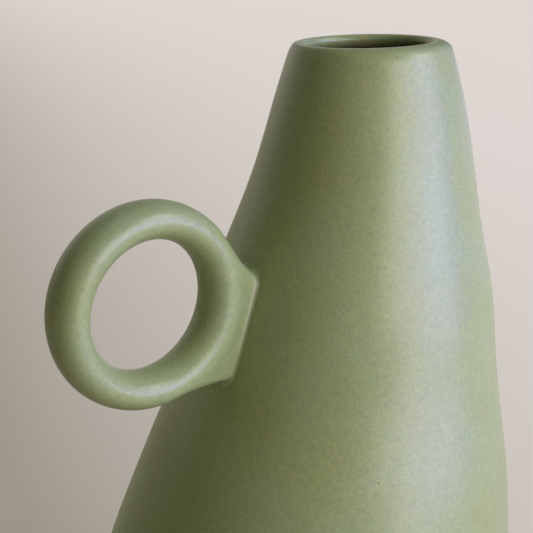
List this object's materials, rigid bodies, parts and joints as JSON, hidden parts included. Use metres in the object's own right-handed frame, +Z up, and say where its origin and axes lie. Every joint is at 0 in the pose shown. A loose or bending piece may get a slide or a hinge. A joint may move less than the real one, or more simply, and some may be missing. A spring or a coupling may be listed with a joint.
{
  "type": "bud vase",
  "caption": "Hollow pear-shaped stoneware bud vase that leans over its flat foot, with a small round mouth and an oval-section ring handle luted to its flank.",
  "frame": {"origin": "centre of the flat foot, in the plane that the vase stands on", "axes": "+Z up through the height of the vase, -X towards the ring handle, and the plane Y = 0 holds the ring and halves the body"},
  "size_m": [0.137, 0.124, 0.195],
  "materials": {
    "body_glaze": "satin matt sage green glaze on stoneware, bare clay under the foot",
    "handle_glaze": "satin matt sage green glaze on stoneware",
    "saddle_glaze": "satin matt sage green glaze, thin and lighter along the crisp edge on the wall"
  },
  "bodies": {
    "root": {"vase_body": "body_glaze", "ring_handle": "handle_glaze", "handle_saddle": "saddle_glaze"}
  },
  "joints": []
}
